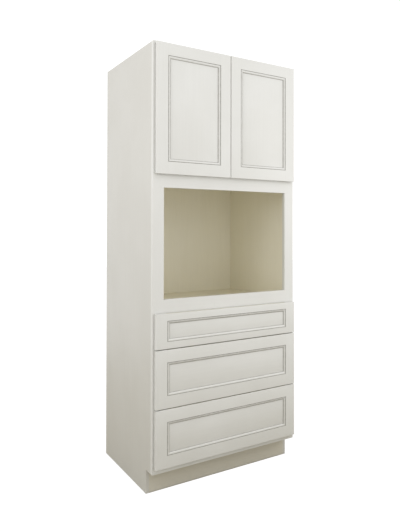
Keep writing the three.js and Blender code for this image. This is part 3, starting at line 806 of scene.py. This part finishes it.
def drawer_end(at_rear, b0, b1):
    """A front or back board, with a socket for each tail at both of its ends."""
    t, c = BOX_SIDE, 0.05
    ya = BOX_Y0 + BOX_LEN - t if at_rear else BOX_Y0
    yb = ya + t
    verts = [(x, y, z) for z in (b0, b1) for x, y in ((-BOX_X, ya), (BOX_X, ya), (BOX_X, yb), (-BOX_X, yb))]
    faces = [(0, 1, 2, 3), (4, 5, 6, 7), (0, 1, 5, 4), (1, 2, 6, 5), (2, 3, 7, 6), (3, 0, 4, 7)]
    cuts = []
    for sign in (-1, 1):
        for e0, e1, s0, s1 in tails(b0, b1):
            k = (e0 - s0) / t
            end, shoulder = (yb + 2, ya) if at_rear else (ya - 2, yb)
            far = [(end, e0 + 2 * k - c), (end, e1 - 2 * k + c), (shoulder + (-0.02 if at_rear else 0.02), s1 + c),
                   (shoulder + (-0.02 if at_rear else 0.02), s0 - c)]
            v, f = [], []
            for x in (sign * (BOX_X - t - c), sign * (BOX_X + 2)):
                v += [(x, y, z) for y, z in far]
            f = [(0, 1, 2, 3), (4, 5, 6, 7), (0, 1, 5, 4), (1, 2, 6, 5), (2, 3, 7, 6), (3, 0, 4, 7)]
            cuts.append((v, f))
    return verts, faces, cuts


def plank(x0, x1, y0, y1, z0, z1):
    verts = [(x, y, z) for z in (z0, z1) for x, y in ((x0, y0), (x1, y0), (x1, y1), (x0, y1))]
    return verts, [(0, 1, 2, 3), (4, 5, 6, 7), (0, 1, 5, 4), (1, 2, 6, 5), (2, 3, 7, 6), (3, 0, 4, 7)]


for n, d in enumerate(DRAWERS, 1):
    body, cad = f"drawer_{n}", f"drawer_{n}_box"
    for side, sign in (("left", -1), ("right", 1)):
        o = piece(f"drawer_{n}_box_{side}", *drawer_side(sign, d["b0"], d["b1"]), "birch_y", body, "drawer_wood", 25.0, (cad,))
        soften(ease_top(o, d["b1"], 1.6), 0.12, 1)
    for where, rear in (("front", False), ("back", True)):
        verts, faces, cuts = drawer_end(rear, d["b0"], d["b1"])
        o = piece(f"drawer_{n}_box_{where}", verts, faces, "birch_x", body, "drawer_wood", 25.0, (cad,))
        cut_with(o, *cuts)
        o.data.shade_smooth()
        o.data.set_sharp_from_angle(angle=math.radians(25.0))
        soften(ease_top(o, d["b1"], 1.6), 0.12, 1)
    inner = BOX_X - BOX_SIDE - 0.1
    o = piece(f"drawer_{n}_box_bottom", *plank(-inner, inner, BOX_Y0 + BOX_SIDE + 0.1, BOX_Y0 + BOX_LEN - BOX_SIDE - 0.1,
                                               d["b0"] + 12.0, d["b0"] + 18.0), "birch_ply", body, "drawer_wood", 25.0, (cad,))
    soften(o, 0.2, 1)


# ------------------------------------------------------------- small hardware

def box_shape(x0, x1, y0, y1, z0, z1):
    return plank(x0, x1, y0, y1, z0, z1)


def cross_head(r, h, n=24):
    """A pan head with a cross recess, local Z up from the seat."""
    arm, wide, deep = 0.56 * r, 0.17 * r, 0.55 * h
    rim = ring_of(n, r)
    verts, faces, rows = [], [], []
    for rr, z in ((r, 0.0), (r, 0.35 * h), (0.93 * r, 0.70 * h), (0.78 * r, 0.93 * h), (0.70 * r, h)):
        rows.append(len(verts))
        verts += [(x * rr / r, y * rr / r, z) for x, y in rim]
    for a, b in zip(rows, rows[1:]):
        faces += [(a + i, a + (i + 1) % n, b + (i + 1) % n, b + i) for i in range(n)]
    faces.append(tuple(range(n))[::-1])
    # the recess: a plus-shaped outline, sunk
    plus = [(arm, -wide), (arm, wide), (wide, wide), (wide, arm), (-wide, arm), (-wide, wide),
            (-arm, wide), (-arm, -wide), (-wide, -wide), (-wide, -arm), (wide, -arm), (wide, -wide)]
    top, low = len(verts), len(verts) + 12
    verts += [(x, y, h) for x, y in plus] + [(x * 0.8, y * 0.8, h - deep) for x, y in plus]
    faces += [(top + i, top + (i + 1) % 12, low + (i + 1) % 12, low + i) for i in range(12)]
    faces.append(tuple(range(low, low + 12)))
    # the land between the rim's top ring and the recess
    ring = list(range(rows[-1], rows[-1] + n))
    per = n // 4
    corners = [1, 4, 7, 10]
    ang = lambda i: math.atan2(verts[i][1], verts[i][0])
    order = sorted(ring, key=ang)
    inner = sorted(range(top, top + 12), key=ang)
    i = j = 0
    total = len(order) + len(inner)
    while i + j < total:
        a0, a1 = order[i % n], order[(i + 1) % n]
        b0, b1 = inner[j % 12], inner[(j + 1) % 12]
        na = ang(a1) + (2 * math.pi if i + 1 >= n else 0.0)
        nb = ang(b1) + (2 * math.pi if j + 1 >= 12 else 0.0)
        if j >= 12 or (i < n and na <= nb):
            faces.append((a0, a1, b0))
            i += 1
        else:
            faces.append((a0, b1, b0))
            j += 1
    return verts, faces


def ball(r):
    return lathe([(0.0, -r)] + [(r * math.cos(math.radians(a)), r * math.sin(math.radians(a))) for a in (-60, -30, 0, 30, 60)] + [(0.0, r)], 10)


# shelf pins: a collar against the side, a stem in its hole, a peg under the shelf
verts, faces = lathe([(0.0, -9.5), (1.9, -9.5), (2.4, -9.0), (2.4, 0.0), (3.7, 0.0), (3.9, 0.25), (3.9, 0.75), (3.7, 1.0),
                      (2.45, 1.0), (2.45, 8.2), (2.0, 8.8), (0.0, 8.8)], 20)
for side, sign in (("left", -1), ("right", 1)):
    v, f = stamped([(verts, faces)], [looking("x", -sign, (sign * X_SIDE, y, SHELF_BOTTOM - 2.5)) for y in PIN_ROWS])
    piece(f"{side}_shelf_pins", v, f, "nickel", "cabinet", "hinge_metal", 40.0)

# hinge screws: two in each cup's ears and two in each plate
for side, sign in (("left", -1), ("right", 1)):
    cup_x = sign * (DOOR["x1"] - CUP_U)
    head = cross_head(3.4, 1.0)
    stem = lathe([(0.0, -1.1), (1.9, -1.1), (1.9, 0.02), (0.0, 0.02)], 12)
    v, f = stamped([head, stem], [looking("y", 1, (cup_x, Y_FRONT_BACK + 1.2, z + s * 24.0), 0.4 + i + s)
                                  for i, z in enumerate(HINGE_Z) for s in (-1, 1)])
    piece(f"{side}_hinge_cup_screws", v, f, "steel", f"{side}_door", "hinge_metal", 35.0)
    head = cross_head(3.6, 1.5)
    stem = lathe([(0.0, -1.9), (1.9, -1.9), (1.9, 0.02), (0.0, 0.02)], 12)
    v, f = stamped([head, stem], [looking("x", -sign, (sign * 379.0, -284.3, z + s * 18.0), 0.9 + i + s)
                                  for i, z in enumerate(HINGE_Z) for s in (-1, 1)])
    piece(f"{side}_hinge_plate_screws", v, f, "steel", "cabinet", "hinge_metal", 35.0)
    # the steel pin each arm turns on
    pin = lathe([(0.0, -7.2), (1.1, -7.2), (1.4, -6.9), (1.4, -6.6), (0.9, -6.6), (0.9, 6.6), (1.4, 6.6), (1.4, 6.9), (1.1, 7.2), (0.0, 7.2)], 14)
    v, f = stamped([pin], [looking("z", 1, (sign * (DOOR["x1"] - 34.0), Y_FRONT_BACK + 4.5, z)) for z in HINGE_Z])
    piece(f"{side}_hinge_pins", v, f, "steel", "cabinet", "hinge_metal", 35.0)

# clear bumpers behind the doors and the drawer fronts
dome = lathe([(0.0, -0.02), (4.0, -0.02), (4.1, 0.5), (3.9, 1.3), (3.2, 2.0), (2.0, 2.45), (0.0, 2.55)], 20)
for side, sign in (("left", -1), ("right", 1)):
    v, f = stamped([dome], [looking("y", 1, (sign * (DOOR["x0"] + 12.0), Y_FRONT_BACK, z))
                            for z in (DOOR["z0"] + 12.0, DOOR["z1"] - 12.0)])
    piece(f"{side}_door_bumpers", v, f, "bumper", f"{side}_door", None, 40.0)
for n, d in enumerate(DRAWERS, 1):
    v, f = stamped([dome], [looking("y", 1, (sign * 400.0, Y_FRONT_BACK, z)) for sign in (-1, 1) for z in (d["z0"] + 22.0, d["z1"] - 14.0)])
    piece(f"drawer_{n}_bumpers", v, f, "bumper", f"drawer_{n}", None, 40.0)

# ball cages of the slides: a strip bent into a channel round the member it
# wraps, with a row of balls through each flange
def cage(sign, zc, s_web, s_tip, h, y0, y1):
    """Cage channel, for one side of a drawer; the balls are placed where it is called."""
    sx = lambda s: sign * (BOX_X + s)
    t = 0.3
    outline = [(s_tip, h - t), (s_tip, h + t), (s_web + t, h + t), (s_web + t, -h - t), (s_tip, -h - t), (s_tip, -h + t),
               (s_web - t * 0.2, -h + t), (s_web - t * 0.2, h - t)]
    m = len(outline)
    verts = [(sx(s), y0, zc + z) for s, z in outline] + [(sx(s), y1, zc + z) for s, z in outline]
    faces = [tuple(range(m)), tuple(range(m, 2 * m))] + [(i, (i + 1) % m, m + (i + 1) % m, m + i) for i in range(m)]
    return verts, faces


for n, d in enumerate(DRAWERS, 1):
    body, zc = f"drawer_{n}_slide_middles", d["slide"]
    for side, sign in (("left", -1), ("right", 1)):
        strips, places = [], []
        for s_web, s_tip, h, s_ball, y0, y1 in ((11.0, 3.6, 19.6, 6.0, SLIDE_Y0 + 260, SLIDE_Y0 + 440),
                                                (8.95, 2.9, 15.0, 5.1, SLIDE_Y0 + 10, SLIDE_Y0 + 200)):
            strips.append(cage(sign, zc, s_web, s_tip, h, y0, y1))
            count = int((y1 - y0 - 8) // 11.5)
            for i in range(count + 1):
                for up in (-1, 1):
                    places.append(looking("z", 1, (sign * (BOX_X + s_ball), y0 + 5 + i * (y1 - y0 - 10) / count, zc + up * h)))
        v, f = stamped(strips, [lambda p: p])
        piece(f"drawer_{n}_{side}_ball_cages", v, f, "cage", body, "slide_steel", 30.0)
        v, f = stamped([ball(1.6)], places)
        piece(f"drawer_{n}_{side}_slide_balls", v, f, "ball", body, "slide_steel", 60.0)
    # screws: drawer members to the box, cabinet members to stile and side
    head = cross_head(3.4, 1.3)
    v, f = stamped([head], [looking("x", sign, (sign * (BOX_X + 1.2), SLIDE_Y0 + y, zc), 0.3 + y)
                            for sign in (-1, 1) for y in (38.0, 262.0, 478.0)])
    piece(f"drawer_{n}_slide_screws", v, f, "steel", f"drawer_{n}", "slide_steel", 35.0)
    flat = cross_head(3.8, 0.14)
    v, f = stamped([flat], [looking("x", -sign, (sign * (BOX_X + 11.5), SLIDE_Y0 + y, zc), 0.5 + y)
                            for sign in (-1, 1) for y in (34.5, 515.0)])
    piece(f"drawer_{n}_runner_screws", v, f, "steel", "cabinet", "slide_steel", 35.0)
    # screws through the box into the drawer front
    head = cross_head(4.2, 1.9)
    v, f = stamped([head], [looking("y", 1, (x, BOX_Y0 + BOX_SIDE, z), 0.2 + x + z)
                            for x in (-262.0, 262.0) for z in (d["b0"] + 36.0, d["b1"] - 20.0)])
    piece(f"drawer_{n}_front_screws", v, f, "steel", f"drawer_{n}", None, 35.0)

# staples that hold the back panel to the floors and to the rear of the sides
crown = [box_shape(-5.5, 5.5, -0.6, 0.6, -0.4, 0.28)]
places = []
for z in (TOP_MID, CUPBOARD_MID, DECK_MID, FLOOR_MID):
    places += [looking("y", 1, (x, Y_BACK_REAR, z), 0.06 * ((i * 7) % 5 - 2)) for i, x in enumerate(range(-360, 361, 90))]
v, f = stamped(crown, places)
piece("back_panel_staples", v, f, "steel", "cabinet", None, 35.0)


# ---------------------------------------------------------- camera and light

def camera():
    """The photograph's view: 530.46 px focal length in a 400 x 532 frame, seen a little from the left."""
    yaw, pitch, roll = 0.569977979712218, 0.010501218680458472, 0.0014292733873069363
    fwd = Vector((math.sin(yaw) * math.cos(pitch), math.cos(yaw) * math.cos(pitch), math.sin(pitch)))
    right = Vector((math.cos(yaw), -math.sin(yaw), 0.0))
    up = right.cross(fwd)
    r2 = right * math.cos(roll) + up * math.sin(roll)
    u2 = up * math.cos(roll) - right * math.sin(roll)
    data = bpy.data.cameras.new("camera")
    data.sensor_fit = "AUTO"
    data.sensor_width = 36.0
    data.lens = 530.4621381053538 * 36.0 / 532.0
    data.shift_x = -(226.7787203046491 - 200.0) / 532.0
    data.shift_y = (222.66990290002227 - 266.0) / 532.0
    data.clip_start, data.clip_end = 0.05, 100.0
    o = bpy.data.objects.new("camera", data)
    m = Matrix((r2, u2, -fwd)).transposed().to_4x4()
    m.translation = Vector((-1.4589658355805284, -2.2591984556238895 - 0.2938, 1.2561706483559037))
    o.matrix_world = m
    bpy.context.scene.collection.objects.link(o)
    bpy.context.scene.camera = o


def area(name, at, towards, size, power, colour=(1.0, 1.0, 1.0)):
    data = bpy.data.lights.new(name, "AREA")
    data.shape = "RECTANGLE"
    data.size, data.size_y = size
    data.energy = power
    data.color = colour
    o = bpy.data.objects.new(name, data)
    o.location = at
    o.rotation_mode = "QUATERNION"
    o.rotation_quaternion = (Vector(towards) - Vector(at)).to_track_quat("-Z", "Y")
    bpy.context.scene.collection.objects.link(o)
    return o


def world():
    w = bpy.data.worlds.new("studio")
    w.use_nodes = True
    t = w.node_tree
    t.nodes.clear()
    out = t.nodes.new("ShaderNodeOutputWorld")
    back = t.nodes.new("ShaderNodeBackground")
    back.inputs["Color"].default_value = (1.0, 1.0, 1.0, 1.0)
    back.inputs["Strength"].default_value = 1.15
    t.links.new(back.outputs[0], out.inputs[0])
    bpy.context.scene.world = w


def sheet_below(name, outline, z, look):
    mesh = bpy.data.meshes.new(name)
    mesh.from_pydata([(x, y, z) for x, y in outline], [], [tuple(range(len(outline)))])
    mesh.materials.append(M[look])
    o = bpy.data.objects.new(name, mesh)
    bpy.context.scene.collection.objects.link(o)
    return o


def floor():
    # what is seen: a wide white floor that neither lights nor shades the unit
    o = sheet_below("floor", [(-14.0, -14.0), (14.0, -14.0), (14.0, 14.0), (-14.0, 14.0)], -0.0006, "floor")
    o.visible_diffuse = o.visible_glossy = o.visible_transmission = o.visible_shadow = False
    # what lights the unit's lower half: a tan card, out of the camera's sight
    o = sheet_below("card", ring_of(64, 2.7), -0.0012, "card")
    o.visible_camera = False


camera()
world()
floor()
area("key", (-2.0, -0.9, 1.9), (-0.4, -0.3, 1.8), (0.8, 0.8), 5.5)
area("fill", (1.3, -1.4, 1.6), (0.3, -0.3, 1.7), (0.6, 1.4), 5.0)
bpy.context.scene.view_settings.view_transform = "Standard"
bpy.context.scene.view_settings.look = "None"
bpy.context.scene.cycles.diffuse_bounces = 12
